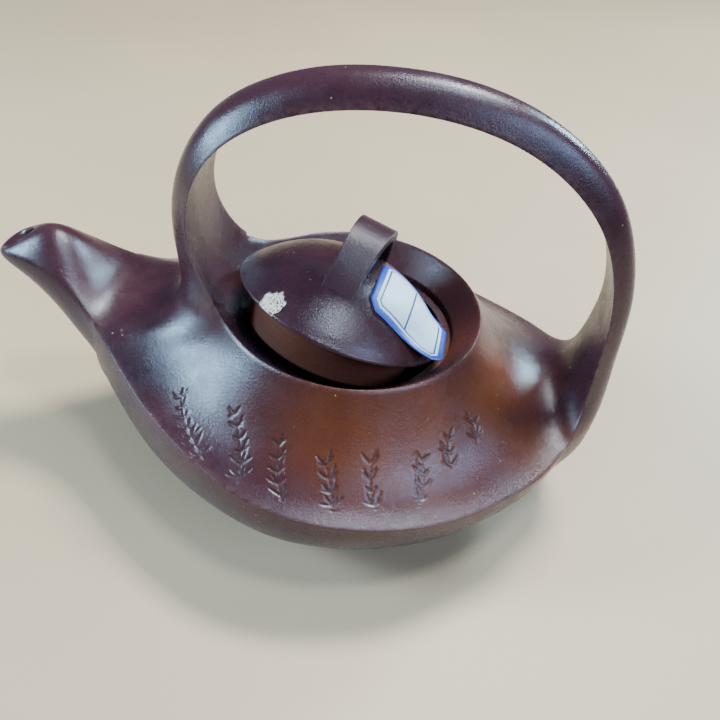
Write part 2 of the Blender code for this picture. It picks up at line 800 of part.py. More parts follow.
def price_label(parts, paper):
    length, width = LABEL_SIZE
    mesh = bpy.data.meshes.new("price_label")
    points = []
    faces = []
    across = [-0.5, -0.25, 0.0, 0.25, 0.5]
    along = [-0.5, -0.4, -0.25, -0.1, 0.1, 0.25, 0.4, 0.5]
    for a in along:
        shrink = 1.0 - (2.0 * LABEL_CORNER / width if abs(a) == 0.5 else 0.0)
        for b in across:
            points.append(label_point(a * length, b * width * shrink))
    for row in range(len(along) - 1):
        for step in range(len(across) - 1):
            low = row * len(across) + step
            faces.append((low, low + 1, low + len(across) + 1, low + len(across)))
    mesh.from_pydata(points, [], faces)
    work = bmesh.new()
    work.from_mesh(mesh)
    for face in work.faces:
        if face.normal.z < 0.0:
            face.normal_flip()
    work.to_mesh(mesh)
    work.free()
    item = add_object("price_label", mesh, parts, paper)
    solid = item.modifiers.new("paper", "SOLIDIFY")
    solid.thickness = LABEL_THICK * MM
    solid.offset = 1.0
    return item


def main():
    clear_scene()
    parts = make_collection("clay_teapot")
    cutters = make_collection("cutters")
    clay = make_material("clay", CLAY, 0.42)
    warm = make_material("warm_clay", CLAY_WARM, 0.5)
    paper = make_material("paper", PAPER, 0.55)
    pot_pieces(parts, cutters, clay, warm)
    strainer(parts, cutters, clay)
    lid_pieces(parts, cutters, clay, warm, paper)


main()
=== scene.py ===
"""Looks of the clay teapot: one continuous burnished skin, the crooked lid and its paper label."""

import math
import random

import bmesh
import bpy
import numpy as np
from mathutils import Euler, Matrix, Vector


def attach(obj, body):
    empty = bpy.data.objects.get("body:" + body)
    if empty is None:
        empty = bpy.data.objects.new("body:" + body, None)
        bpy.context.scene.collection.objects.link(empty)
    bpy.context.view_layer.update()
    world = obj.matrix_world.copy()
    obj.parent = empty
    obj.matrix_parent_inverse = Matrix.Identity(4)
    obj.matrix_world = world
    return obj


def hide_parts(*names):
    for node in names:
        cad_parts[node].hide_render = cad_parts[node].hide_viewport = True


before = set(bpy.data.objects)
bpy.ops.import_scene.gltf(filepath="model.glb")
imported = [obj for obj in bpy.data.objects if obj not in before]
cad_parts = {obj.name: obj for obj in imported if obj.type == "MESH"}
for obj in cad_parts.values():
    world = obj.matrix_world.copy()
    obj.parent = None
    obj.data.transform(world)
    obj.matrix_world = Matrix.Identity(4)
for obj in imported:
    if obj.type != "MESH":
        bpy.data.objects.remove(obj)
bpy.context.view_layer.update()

MM = 0.001
WALL = 3.2                  # clay wall, mm
SKIN_LEVELS = 3             # smoothing of the pot's form
BASE_SEAM = 4.0             # thickness of the base disc

# The cage has COLUMNS columns round the mouth. Column 0 is the tail, column HALF the spout.
COLUMNS = 32
HALF = COLUMNS // 2
SPAN = 2                    # the ribbon and the spout are SPAN columns wide to each side

# Mouth: turned rings as (radius, height), from the hole edge out to the collar ridge.
HOLE_RADIUS = 36.8
HOLE_BOTTOM = 64.4
SEAT_RINGS = [(36.8, 67.8), (40.5, 67.8), (40.8, 70.6), (45.0, 75.0)]
RIDGE = (50.0, 80.6)
RIDGE_NEAR_LEG = (-42.6, 29.0, 82.4)

# Rim edge (x, half width, z) for columns 3 to 13, from tail to spout.
RIM = [(78.6, 46.0, 48.4), (64.8, 58.4, 46.5), (45.2, 71.4, 45.4), (22.4, 79.2, 45.8),
       (0.0, 82.0, 47.0), (-20.5, 79.5, 49.0), (-38.5, 71.5, 51.2), (-54.5, 61.5, 53.7),
       (-68.0, 50.8, 56.4), (-79.0, 40.3, 59.5), (-88.0, 31.6, 63.3)]

# Ribbon handle stations: edge x, edge z, half width, inner face middle x, z, outer face middle x, z.
RIBBON = [
    (88.0, 51.0, 33.2, 83.0, 57.5, 103.0, 45.0),
    (91.6, 57.4, 25.4, 88.4, 62.5, 104.6, 57.5),
    (93.0, 66.0, 19.2, 91.8, 70.0, 104.0, 70.2),
    (93.6, 80.0, 15.0, 93.3, 82.0, 103.0, 85.4),
    (93.0, 97.0, 11.6, 93.0, 97.5, 101.4, 101.0),
    (88.4, 114.0, 10.0, 88.4, 114.0, 96.4, 118.0),
    (79.6, 130.6, 9.5, 79.6, 130.6, 86.6, 137.2),
    (64.4, 145.0, 9.0, 64.4, 145.0, 69.8, 153.4),
    (45.8, 154.8, 9.2, 45.8, 154.8, 49.2, 164.2),
    (26.0, 159.6, 9.8, 26.0, 159.6, 27.6, 169.4),
    (7.0, 160.6, 10.4, 7.0, 160.6, 6.4, 170.2),
    (-13.0, 158.4, 11.5, -13.0, 158.4, -15.4, 167.8),
    (-31.5, 152.6, 13.2, -31.5, 152.6, -35.8, 160.6),
    (-46.5, 143.0, 15.2, -46.5, 143.0, -52.6, 149.6),
    (-55.5, 130.4, 16.6, -55.5, 130.4, -63.2, 134.4),
    (-59.0, 116.4, 17.6, -59.2, 116.4, -68.2, 117.8),
    (-57.6, 104.0, 19.4, -58.2, 103.0, -68.6, 102.0),
    (-52.8, 94.0, 21.4, -55.2, 92.0, -67.6, 88.0),
    (-48.2, 87.4, 24.2, -51.6, 83.4, -68.4, 77.0),
]

# Spout stations, same columns: edge x, edge z, half width, top middle x, z, under middle x, z.
SPOUT = [
    (-96.0, 68.7, 24.3, -97.0, 73.0, -96.0, 39.5),
    (-104.5, 76.2, 18.2, -103.6, 82.2, -106.5, 49.5),
    (-112.8, 81.6, 15.2, -109.6, 89.8, -116.5, 61.0),
    (-120.8, 84.0, 13.4, -114.8, 93.6, -129.0, 71.8),
    (-128.4, 85.0, 11.2, -119.8, 94.2, -140.5, 78.2),
]
SPOUT_TIP = (-133.0, 86.2, 8.2, -124.2, 92.0, -142.0, 81.2)
RIBBON_FLANK = (0.60, 0.86)     # halfway point of the convex face: share of width, of thickness
SPOUT_FLANKS = [(1.15, 0.74), (1.30, 0.79), (1.18, 0.77), (1.02, 0.72), (0.96, 0.70), (0.96, 0.72)]
BORE_FLANK = (0.96, 0.72)
BORE_SHARE = [0.82, 0.76, 0.70, 0.58, 0.44]     # bore section as a share of the spout section
TIP_BORE_SHARE = 0.74

# Shoulder between collar and rim: rows at these shares of the way, falling as a power curve.
SHOULDER_ROWS = [0.14, 0.42, 0.74]
SHOULDER_POWER = 1.8
SADDLE_DIP = {0: 3.0, 1: 2.6, 2: 2.0, 3: 1.2, 4: 0.6, 11: 0.6, 12: 1.6, 13: 3.4, 14: 5.4, 15: 4.4, 16: 4.4}

# Bowl below the rim: (share of the way out from the base edge, share of the rim height).
BOWL_ROWS = [(0.985, 0.81), (0.83, 0.49), (0.50, 0.20), (0.13, 0.04)]
FLANK_BULGE = {7: 0.02, 8: 0.055, 9: 0.10, 10: 0.14, 11: 0.16, 12: 0.16, 13: 0.15, 14: 0.12}
BASE_RADIUS = 43.0
FLOOR_RADIUS = 24.0


# Edges of the pot, worn round by burnishing.
EDGE_ROUND = 0.7           # mm
EDGE_ANGLE = 24.0           # a fold sharper than this, in degrees, is an edge
WEAR_SPREAD = 2             # rings of neighbours that the wear fades over

# Incised bamboo on the front shoulder: stems as (x, y) at the foot and at the tip, and their bow, mm.
BAMBOO_STEMS = [((-41.0, -67.5), (-55.5, -45.0), 2.0), ((-27.0, -73.5), (-34.0, -52.5), -1.5),
                ((-11.0, -77.0), (-15.5, -60.5), 1.2), ((6.0, -77.0), (0.5, -64.0), -1.0),
                ((21.0, -73.5), (16.5, -60.5), 1.2), ((35.0, -68.5), (33.5, -54.5), -1.2),
                ((46.0, -55.0), (42.5, -46.0), 0.8), ((53.5, -43.5), (50.0, -37.5), -0.6)]
LEAF_PITCH = 3.6            # along a stem
LEAF_LENGTH = (2.6, 5.4)
STEM_WIDTH = 0.20           # half width of the cuts
LEAF_WIDTH = 0.34
STROKE_DEPTH = 0.34
STROKE_REACH = 1.3          # the skin is refined this far round a cut

# Lid, in its own frame: z = 0 at the rim's underside.
LID_RADIUS = 41.0
LID_RIM_THICKNESS = 1.6
LID_HEIGHT = 21.0
LID_CURVE = 2.5
LID_WALL = 3.6
FLANGE_OUTER = 33.2
FLANGE_INNER = 30.2
FLANGE_DEPTH = 15.0
LID_PLACE = (-4.2, -3.4, 79.3)
LID_TILT = (-15.5, 16.0)    # about X and Y, degrees
LID_SEGMENTS = 160
CHIP_CENTRE = (-23.4, -31.6)
CHIP_RADIUS = (4.3, 3.5)    # along the rim and across it
CHIP_DEPTH = 0.55

# Knob: a strap bent into an arch, standing across the lid. (y, z, half width) along the strap.
KNOB_TURN = -10.0
KNOB_THICK = 4.6
KNOB_PATH = [(-30.6, -3.0, 6.6), (-28.6, 4.0, 6.3), (-25.6, 11.0, 5.9), (-20.4, 20.0, 5.8),
             (-13.0, 28.8, 6.5),
             (-4.6, 33.4, 7.0), (4.4, 33.4, 7.2), (11.8, 29.5, 7.0), (16.6, 21.5, 6.8), (19.6, 13.5, 6.8),
             (21.4, 7.5, 7.2), (22.4, 1.0, 7.8)]

# Paper label, glued to the dome at one end and standing off it at the other.
LABEL_SIZE = (33.0, 32.0)
LABEL_CENTRE = (24.2, -10.8)
LABEL_TURN = -3.0
LABEL_THICK = 0.22
LABEL_CORNER = 3.6
LABEL_LEAVES = 31.0         # radius where the paper leaves the dome
LABEL_CURL = 0.028          # how fast it bends up beyond that
LABEL_CLEAR = 0.45

# Lights: (name, compass angle from +X, height angle, distance m, size m, power W, colour).
LIGHTS = [("back_high", 58, 67, 1.25, (0.32, 0.20), 34.0, (0.84, 0.93, 1.0)),
          ("window_front", -38, 35, 1.35, (0.90, 0.30), 20.0, (0.40, 0.62, 1.0)),
          ("back_low", 46, 27, 1.25, (0.22, 0.20), 20.0, (0.50, 0.80, 1.0)),
          ("left", -167, 27, 1.25, (0.34, 0.34), 38.0, (0.44, 0.72, 1.0)),
          ("overhead", -30, 74, 1.25, (0.18, 0.18), 12.0, (0.62, 0.80, 1.0))]
FLOOR_COLOURS = ((0.42, 0.275, 0.155), (0.47, 0.31, 0.175))
WORLD_COLOUR = (0.72, 0.84, 1.0)
WORLD_STRENGTH = 0.05

# Camera: looks down on the pot from the front, a little tilted.
CAMERA_PLACE = (16.6, -217.4, 245.8)
CAMERA_DOWN = 42.0
CAMERA_ROLL = 7.0
CAMERA_YAW = -3.0
CAMERA_LENS = 35.0


class Cage:
    """A quad cage whose vertices are looked up by name."""

    def __init__(self):
        self.points = []
        self.index = {}
        self.faces = []
        self.sharp = {}

    def put(self, key, point):
        if key not in self.index:
            self.index[key] = len(self.points)
            self.points.append(Vector(point) * MM)
        return key

    def face(self, *keys):
        self.faces.append([self.index[key] for key in keys])

    def crease(self, first, second, value):
        pair = sorted((self.index[first], self.index[second]))
        self.sharp[tuple(pair)] = value

    def strip(self, first, second, closed=True):
        """Quads between two rows of keys of equal length."""
        count = len(first) if closed else len(first) - 1
        for place in range(count):
            after = (place + 1) % len(first)
            self.face(first[place], first[after], second[after], second[place])

    def mesh(self, name):
        made = bpy.data.meshes.new(name)
        made.from_pydata(self.points, [], self.faces)
        layer = made.attributes.new("crease_edge", "FLOAT", "EDGE")
        for edge in made.edges:
            pair = tuple(sorted(edge.vertices))
            layer.data[edge.index].value = self.sharp.get(pair, 0.0)
        work = bmesh.new()
        work.from_mesh(made)
        bmesh.ops.recalc_face_normals(work, faces=work.faces)
        work.to_mesh(made)
        work.free()
        made.shade_smooth()
        return made


def column_angle(column):
    return 2.0 * math.pi * column / COLUMNS


def ring_point(column, radius, height):
    angle = column_angle(column)
    return Vector((radius * math.cos(angle), radius * math.sin(angle), height))


def fold(column):
    """Column on the +Y half, and the side it lies on."""
    column %= COLUMNS
    if column > HALF:
        return COLUMNS - column, -1.0
    return column, 1.0


def sided(point, side):
    return Vector((point[0], point[1] * side, point[2]))


def through(stations):
    """Stations moved outward, so that the smoothed form runs through the given ones."""
    moved = [stations[0]]
    for before, here, after in zip(stations, stations[1:], stations[2:]):
        moved.append(tuple(h + (2.0 * h - b - a) / 6.0 for b, h, a in zip(before, here, after)))
    return moved + [stations[-1]]


def section(station, across, outer, flank=RIBBON_FLANK):
    """Point of a ribbon or spout section. across runs from -SPAN to SPAN."""
    edge_x, edge_z, half_width, inner_x, inner_z, outer_x, outer_z = station
    share = across / SPAN
    if outer:
        side = (share > 0.0) - (share < 0.0)
        bulge = {0: 1.0, 1: flank[1], SPAN: 0.0}[abs(across)]
        place = {0: 0.0, 1: flank[0] * side, SPAN: share}[abs(across)]
        middle = Vector((outer_x, 0.0, outer_z))
    else:
        bulge = 1.0 - share * share
        place = share
        middle = Vector((inner_x, 0.0, inner_z))
    edge = Vector((edge_x, 0.0, edge_z))
    point = edge.lerp(middle, bulge)
    point.y = place * half_width
    return point


RIM_LINE = through([(84.0, 31.5, 51.0)] + RIM + [(-96.0, 24.3, 68.7)])[1:-1]


def ridge_point(column):
    half, side = fold(column)
    if half == HALF - SPAN:
        return sided(section(RIBBON[-1], SPAN, False), side)
    if half == HALF - SPAN - 1:
        return sided(RIDGE_NEAR_LEG, side)
    return ring_point(column, *RIDGE)


def rim_point(column):
    half, side = fold(column)
    if half == SPAN:
        return sided(section(RIBBON[0], SPAN, False), side)
    if half == HALF - SPAN:
        return sided(section(SPOUT[0], SPAN, False), side)
    return sided(RIM_LINE[half - SPAN - 1], side)


def shoulder_top(column):
    """Where the shoulder starts: the collar ridge, or the outer face of the handle's leg."""
    half, side = fold(column)
    if half > HALF - SPAN:
        return sided(section(RIBBON[-1], HALF - half, True), side)
    return ridge_point(column)


def shoulder_foot(column):
    """Where the shoulder ends: the rim, the handle's inner face or the top of the spout."""
    half, side = fold(column)
    if half < SPAN:
        return sided(section(RIBBON[0], half, False), side)
    if half > HALF - SPAN:
        return sided(section(SPOUT[0], HALF - half, False), side)
    return rim_point(column)


def bowl_top(column):
    half, side = fold(column)
    if half < SPAN:
        return sided(section(RIBBON[0], half, True), side)
    if half > HALF - SPAN:
        return sided(section(SPOUT[0], HALF - half, True, SPOUT_FLANKS[0]), side)
    return rim_point(column)


def shoulder_point(column, share):
    top = shoulder_top(column)
    foot = shoulder_foot(column)
    point = top.lerp(foot, share)
    point.z = foot.z + (top.z - foot.z) * (1.0 - share) ** SHOULDER_POWER
    dip = SADDLE_DIP.get(fold(column)[0], 0.0)
    point.z -= dip * 6.75 * share * (1.0 - share) ** 2
    return point


def bowl_point(column, out_share, height_share):
    top = bowl_top(column)
    foot = ring_point(column, BASE_RADIUS, 0.0)
    bulge = FLANK_BULGE.get(fold(column)[0], 0.0)
    point = foot.lerp(top, out_share + bulge * 4.0 * height_share * (1.0 - height_share))
    point.z = top.z * height_share
    return point


def ring_keys(name):
    return [(name, column) for column in range(COLUMNS)]


def put_ring(cage, name, place):
    for column in range(COLUMNS):
        cage.put((name, column), place(column))
    return ring_keys(name)


def loop_keys(name, station):
    """Keys once round a tube section: the inner face, then back along the outer face."""
    inner = [(name, station, "in", across) for across in range(-SPAN, SPAN + 1)]
    outer = [(name, station, "out", across) for across in range(SPAN - 1, -SPAN, -1)]
    return inner + outer


def put_section(cage, name, station, values, flank):
    for key in loop_keys(name, station):
        cage.put(key, section(values, key[3], key[2] == "out", flank))
    return loop_keys(name, station)


def outer_skin(cage):
    """The skin seen from outside: mouth, shoulder, bowl, ribbon handle and spout."""
    rows = []
    for number, (radius, height) in enumerate(SEAT_RINGS):
        rows.append(put_ring(cage, "seat%d" % number, lambda c: ring_point(c, radius, height)))
    for first, second in zip(rows, rows[1:]):
        cage.strip(first, second)

    ridge = {}
    rim = {}
    for column in range(COLUMNS):
        half = fold(column)[0]
        if half <= HALF - SPAN:
            ridge[column] = cage.put(("ridge", column), ridge_point(column))
        if SPAN <= half <= HALF - SPAN:
            rim[column] = cage.put(("rim", column), rim_point(column))

    # Ribbon: its side edges start at the rim and end in the collar ridge.
    last = len(RIBBON) - 1
    for across in (-SPAN, SPAN):
        cage.index[("ribbon", 0, "in", across)] = cage.index[("rim", across % COLUMNS)]
        cage.index[("ribbon", last, "in", across)] = cage.index[("ridge", HALF - across)]
        cage.index[("spout", 0, "in", across)] = cage.index[("rim", HALF - across)]
    loops = [put_section(cage, "ribbon", place, values, RIBBON_FLANK)
             for place, values in enumerate(through(RIBBON))]
    for first, second in zip(loops, loops[1:]):
        cage.strip(first, second)
        for side in (0, 2 * SPAN):
            cage.crease(first[side], second[side], 1.0)

    # Spout: top face is the inner face of its sections, under face the outer one.
    mouths = [put_section(cage, "spout", place, values, SPOUT_FLANKS[place])
              for place, values in enumerate(SPOUT + [SPOUT_TIP])]
    for place, (first, second) in enumerate(zip(mouths, mouths[1:])):
        cage.strip(first, second)
        fading = 0.9 - 0.12 * place
        for side in (0, 2 * SPAN):
            cage.crease(first[side], second[side], fading)

    def top_key(column):
        half, side = fold(column)
        across = int(side * (HALF - half))
        return ("ribbon", last, "out", across) if half > HALF - SPAN else ridge[column % COLUMNS]

    def inside_leg_key(column):
        half, side = fold(column)
        across = int(side * (HALF - half))
        return ("ribbon", last, "in", across) if half > HALF - SPAN else ridge[column % COLUMNS]

    def foot_key(column):
        half, side = fold(column)
        if half < SPAN:
            return ("ribbon", 0, "in", int(side * half))
        across = int(side * (HALF - half))
        return ("spout", 0, "in", across) if half > HALF - SPAN else rim[column % COLUMNS]

    def bowl_key(column):
        half, side = fold(column)
        if half < SPAN:
            return ("ribbon", 0, "out", int(side * half))
        across = int(side * (HALF - half))
        return ("spout", 0, "out", across) if half > HALF - SPAN else rim[column % COLUMNS]

    columns = range(COLUMNS)
    cage.strip(rows[-1], [inside_leg_key(column) for column in columns])
    shoulder = [[top_key(column) for column in columns]]
    for number, share in enumerate(SHOULDER_ROWS):
        shoulder.append(put_ring(cage, "shoulder%d" % number, lambda c: shoulder_point(c, share)))
    shoulder.append([foot_key(column) for column in columns])
    for first, second in zip(shoulder, shoulder[1:]):
        cage.strip(first, second)

    bowl = [[bowl_key(column) for column in columns]]
    for number, (out_share, height) in enumerate(BOWL_ROWS):
        bowl.append(put_ring(cage, "bowl%d" % number, lambda c: bowl_point(c, out_share, height)))
    bowl.append(put_ring(cage, "base", lambda c: ring_point(c, BASE_RADIUS, 0.0)))
    bowl.append(put_ring(cage, "floor", lambda c: ring_point(c, FLOOR_RADIUS, 0.0)))
    for first, second in zip(bowl, bowl[1:]):
        cage.strip(first, second)
    cage.face(*bowl[-1])

    for column in columns:
        after = (column + 1) % COLUMNS
        if column in ridge and after in ridge:
            cage.crease(ridge[column], ridge[after], 0.5)
        if column in rim and after in rim:
            cage.crease(rim[column], rim[after], 1.0)
        cage.crease(("base", column), ("base", after), 0.8)
        for name, value in (("seat0", 0.9), ("seat1", 0.9), ("seat2", 0.8)):
            cage.crease((name, column), (name, after), value)


def cavity_point(column, row, wall):
    """Inside skin of the bowl, for rows below the rim."""
    out_share, height = BOWL_ROWS[row]
    point = bowl_point(column, out_share, height)
    flat = Vector((point.x, point.y, 0.0)).normalized()
    slope = (0.98, 0.80, 0.45, 0.30)[row]
    point -= flat * wall * slope
    point.z += wall * (1.0 - slope) * 1.5
    return point


def ceiling_point(column, share, wall):
    """Inside skin of the shoulder."""
    point = shoulder_point(column, share)
    flat = Vector((point.x, point.y, 0.0)).normalized()
    point -= flat * wall * 0.45
    point.z -= wall * 1.05
    return point


def cavity_rim_point(column, wall):
    """Widest line of the tea space, just inside the rim."""
    half, side = fold(column)
    if half < SPAN:
        point = sided(section(RIBBON[0], half, False), side).lerp(bowl_top(column), 0.25)
        point.z -= 2.0 * wall
    else:
        point = rim_point(column)
        point.z -= 1.6 * wall
    flat = Vector((point.x, point.y, 0.0)).normalized()
    return point - flat * wall * 1.25


def bore_section(values, share, across, outer):
    top_x, top_z, under_x, under_z = values[3:]
    middle = Vector(((top_x + under_x) / 2.0, 0.0, (top_z + under_z) / 2.0))
    return middle.lerp(section(values, across, outer, BORE_FLANK), share)


def bore_loop(cage, place, values, share):
    keys = loop_keys("bore", place)
    for key in keys:
        cage.put(key, bore_section(values, share, key[3], key[2] == "out"))
    return keys


def inner_skin(cage, wall, join_outer):
    """The tea space and the spout bore. Joined to the outer skin at the mouth and at the tip."""
    hole = put_ring(cage, "throat", lambda c: ring_point(c, HOLE_RADIUS - (WALL - wall), HOLE_BOTTOM))
    under = put_ring(cage, "under", lambda c: ring_point(c, HOLE_RADIUS + 5.0, HOLE_BOTTOM - 1.0))
    cage.strip(hole, under)
    first_key = under

    stations = SPOUT + [SPOUT_TIP]
    shares = BORE_SHARE + [TIP_BORE_SHARE]
    shrink = (WALL - wall) * 0.03
    loops = [bore_loop(cage, place, values, share + shrink)
             for place, (values, share) in enumerate(zip(stations, shares))]

    def is_spout(column):
        return fold(column)[0] >= HALF - SPAN

    def spout_key(column, outer):
        half, side = fold(column)
        across = int(side * (HALF - half))
        face = "out" if outer and abs(across) < SPAN else "in"
        return ("bore", 0, face, across)

    rows = [first_key]
    for number, share in enumerate(SHOULDER_ROWS):
        rows.append(put_ring(cage, "ceiling%d" % number, lambda c: ceiling_point(c, share, wall)))
    widest = {}
    for column in range(COLUMNS):
        if not is_spout(column):
            widest[column] = cage.put(("widest", column), cavity_rim_point(column, wall))
    columns = range(COLUMNS)
    rows.append([spout_key(c, False) if is_spout(c) else widest[c] for c in columns])
    for first, second in zip(rows, rows[1:]):
        cage.strip(first, second)

    rows = [[spout_key(c, True) if is_spout(c) else widest[c] for c in columns]]
    for number in range(len(BOWL_ROWS) - 1):
        rows.append(put_ring(cage, "cavity%d" % number, lambda c: cavity_point(c, number, wall)))
    floor_height = BASE_SEAM - 0.3 + (wall - WALL)
    rows.append(put_ring(cage, "inside_base", lambda c: ring_point(c, BASE_RADIUS, floor_height)))
    rows.append(put_ring(cage, "inside_floor", lambda c: ring_point(c, FLOOR_RADIUS, floor_height)))
    for first, second in zip(rows, rows[1:]):
        cage.strip(first, second)
    cage.face(*rows[-1])

    for first, second in zip(loops, loops[1:]):
        cage.strip(first, second)
    if join_outer:
        cage.strip(ring_keys("seat0"), hole)
        cage.strip(loop_keys("spout", len(SPOUT)), loops[-1])
        for column in columns:
            after = (column + 1) % COLUMNS
            cage.crease(("throat", column), ("throat", after), 0.8)
    else:
        cage.face(*hole)
        cage.face(*loops[-1])


def pot_form():
    cage = Cage()
    outer_skin(cage)
    inner_skin(cage, WALL, True)
    return cage.mesh("pot_form")

# ---------------------------------------------------------------- meshes


def add_object(name, mesh, materials):
    made = bpy.data.objects.new(name, mesh)
    bpy.context.scene.collection.objects.link(made)
    mesh.materials.clear()
    for material in materials:
        mesh.materials.append(material)
    return made


def baked(item):
    """The object's mesh with its modifiers applied."""
    graph = bpy.context.evaluated_depsgraph_get()
    mesh = bpy.data.meshes.new_from_object(item.evaluated_get(graph))
    item.modifiers.clear()
    item.data = mesh
    return item


def add_smoothing(item, levels):
    step = item.modifiers.new("smooth_form", "SUBSURF")
    step.levels = levels
    step.render_levels = levels


def store(mesh, name, values):
    layer = mesh.attributes.new(name, "FLOAT", "POINT")
    layer.data.foreach_set("value", np.asarray(values, np.float32))


def places(mesh):
    flat = np.empty(len(mesh.vertices) * 3)
    mesh.vertices.foreach_get("co", flat)
    return flat.reshape(-1, 3)


def edge_ends(mesh):
    flat = np.empty(len(mesh.edges) * 2, int)
    mesh.edges.foreach_get("vertices", flat)
    return flat.reshape(-1, 2)


def wear_of(mesh, spread):
    """1 along the folded edges of a mesh, fading over some rings of neighbours."""
    work = bmesh.new()
    work.from_mesh(mesh)
    values = np.zeros(len(mesh.vertices))
    limit = math.radians(EDGE_ANGLE)
    for edge in work.edges:
        if len(edge.link_faces) == 2 and edge.calc_face_angle_signed(0.0) > limit:
            for vert in edge.verts:
                values[vert.index] = 1.0
    work.free()
    ends = edge_ends(mesh)
    for _ in range(spread):
        spreading = values.copy()
        np.maximum.at(spreading, ends[:, 0], values[ends[:, 1]] * 0.55)
        np.maximum.at(spreading, ends[:, 1], values[ends[:, 0]] * 0.55)
        values = spreading
    return values


# ---------------------------------------------------------------- incised bamboo


def bamboo_strokes():
    """Every cut of the incised bamboo: (three points in the XY plane, half width), mm."""
    strokes = []
    for number, (foot, tip, bow) in enumerate(BAMBOO_STEMS):
        draw = random.Random(40 + number)
        foot, tip = Vector(foot), Vector(tip)
        along = (tip - foot).normalized()
        across = Vector((-along.y, along.x))
        middle = (foot + tip) / 2.0 + across * bow * 2.0
        strokes.append(([tuple(foot), tuple(middle), tuple(tip)], STEM_WIDTH))
        count = max(2, round((tip - foot).length / LEAF_PITCH))
        for place in range(count):
            share = (place + 0.6) / count
            root = foot.lerp(middle, share).lerp(middle.lerp(tip, share), share)
            for side in (-1, 1):
                for lean in ((38, 66) if draw.random() < 0.55 else (50,)):
                    angle = math.radians(side * (lean + draw.uniform(-9, 9)))
                    heading = Matrix.Rotation(angle, 2) @ along
                    length = draw.uniform(*LEAF_LENGTH) * (1.0 - 0.25 * share)
                    droop = across * side * draw.uniform(0.1, 0.9)
                    end = root + heading * length
                    half = root + heading * length * 0.5 + droop
                    strokes.append(([tuple(root), tuple(half), tuple(end)], LEAF_WIDTH))
    return strokes


def bend(points, steps=8):
    """A three-point stroke as a smooth run of points."""
    (x0, y0), (x1, y1), (x2, y2) = points
    run = []
    for step in range(steps + 1):
        t = step / steps
        a, b, c = (1 - t) ** 2, 2 * t * (1 - t), t * t
        run.append((a * x0 + b * x1 + c * x2, a * y0 + b * y1 + c * y2))
    return run


def cut_depth(xy, strokes):
    """Depth of the cuts at points of the XY plane, 0 to 1, and how near the nearest cut is, mm."""
    depth = np.zeros(len(xy))
    near = np.full(len(xy), 99.0)
    for stroke, half_width in strokes:
        run = bend(stroke)
        steps = len(run) - 1
        low = np.min(run, axis=0) - 3.0
        high = np.max(run, axis=0) + 3.0
        inside = np.where(np.all((xy > low) & (xy < high), axis=1))[0]
        if not len(inside):
            continue
        here = xy[inside]
        for step in range(steps):
            a = np.array(run[step])
            b = np.array(run[step + 1])
            along = np.clip(((here - a) @ (b - a)) / ((b - a) @ (b - a)), 0.0, 1.0)
            away = np.linalg.norm(here - a - along[:, None] * (b - a), axis=1)
            t = (step + along) / steps
            width = half_width * (0.5 + 1.0 * np.sin(math.pi * np.clip(t * 0.93 + 0.06, 0.0, 1.0)))
            cut = np.clip(1.0 - (away / width) ** 2, 0.0, 1.0) ** 0.7
            depth[inside] = np.maximum(depth[inside], cut)
            near[inside] = np.minimum(near[inside], away)
    return depth, near


def on_front_shoulder(centre, normal):
    return normal[2] > 0.35 and centre[1] < -0.030 and centre[2] > 0.040 and abs(centre[0]) < 0.066


def carve(mesh):
    """Cuts the bamboo into the shoulder, on faces refined round each cut."""
    strokes = bamboo_strokes()
    work = bmesh.new()
    work.from_mesh(mesh)
    for _ in range(2):
        faces = [face for face in work.faces if on_front_shoulder(face.calc_center_median(), face.normal)]
        middles = np.array([face.calc_center_median()[:2] for face in faces]) / MM
        near = cut_depth(middles, strokes)[1]
        chosen = [face for face, away in zip(faces, near) if away < STROKE_REACH]
        edges = list({edge for face in chosen for edge in face.edges})
        bmesh.ops.subdivide_edges(work, edges=edges, cuts=1, use_grid_fill=True)
    layer = work.verts.layers.float.new("cut")
    work.normal_update()
    verts = [vert for vert in work.verts if on_front_shoulder(vert.co, vert.normal)]
    depth = cut_depth(np.array([vert.co[:2] for vert in verts]) / MM, strokes)[0]
    for vert, deep in zip(verts, depth):
        vert[layer] = deep
        vert.co -= vert.normal * deep * STROKE_DEPTH * MM
    work.to_mesh(mesh)
    work.free()


def pot_skin(materials):
    """The fired pot: base, bowl, shoulder, collar, handle and spout in one skin."""
    item = add_object("pot_skin", pot_form(), materials)
    add_smoothing(item, SKIN_LEVELS)
    round_off = item.modifiers.new("worn_edges", "BEVEL")
    round_off.width = EDGE_ROUND * MM
    round_off.segments = 2
    round_off.limit_method = "ANGLE"
    round_off.angle_limit = math.radians(EDGE_ANGLE)
    baked(item)
    store(item.data, "wear", wear_of(item.data, WEAR_SPREAD))
    carve(item.data)
    item.data.shade_smooth()
    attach(item, "pot")
    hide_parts("base_disc", "body_bowl", "shoulder", "mouth_collar", "overhead_handle", "spout")
    return item


# ---------------------------------------------------------------- lid


def lid_matrix():
    turn = Euler((math.radians(LID_TILT[0]), math.radians(LID_TILT[1]), 0.0), "YXZ")
    return Matrix.Translation(Vector(LID_PLACE) * MM) @ turn.to_matrix().to_4x4()


def dome_height(radius):
    share = min(radius / LID_RADIUS, 1.0)
    return LID_RIM_THICKNESS + (LID_HEIGHT - LID_RIM_THICKNESS) * (1.0 - share ** LID_CURVE)


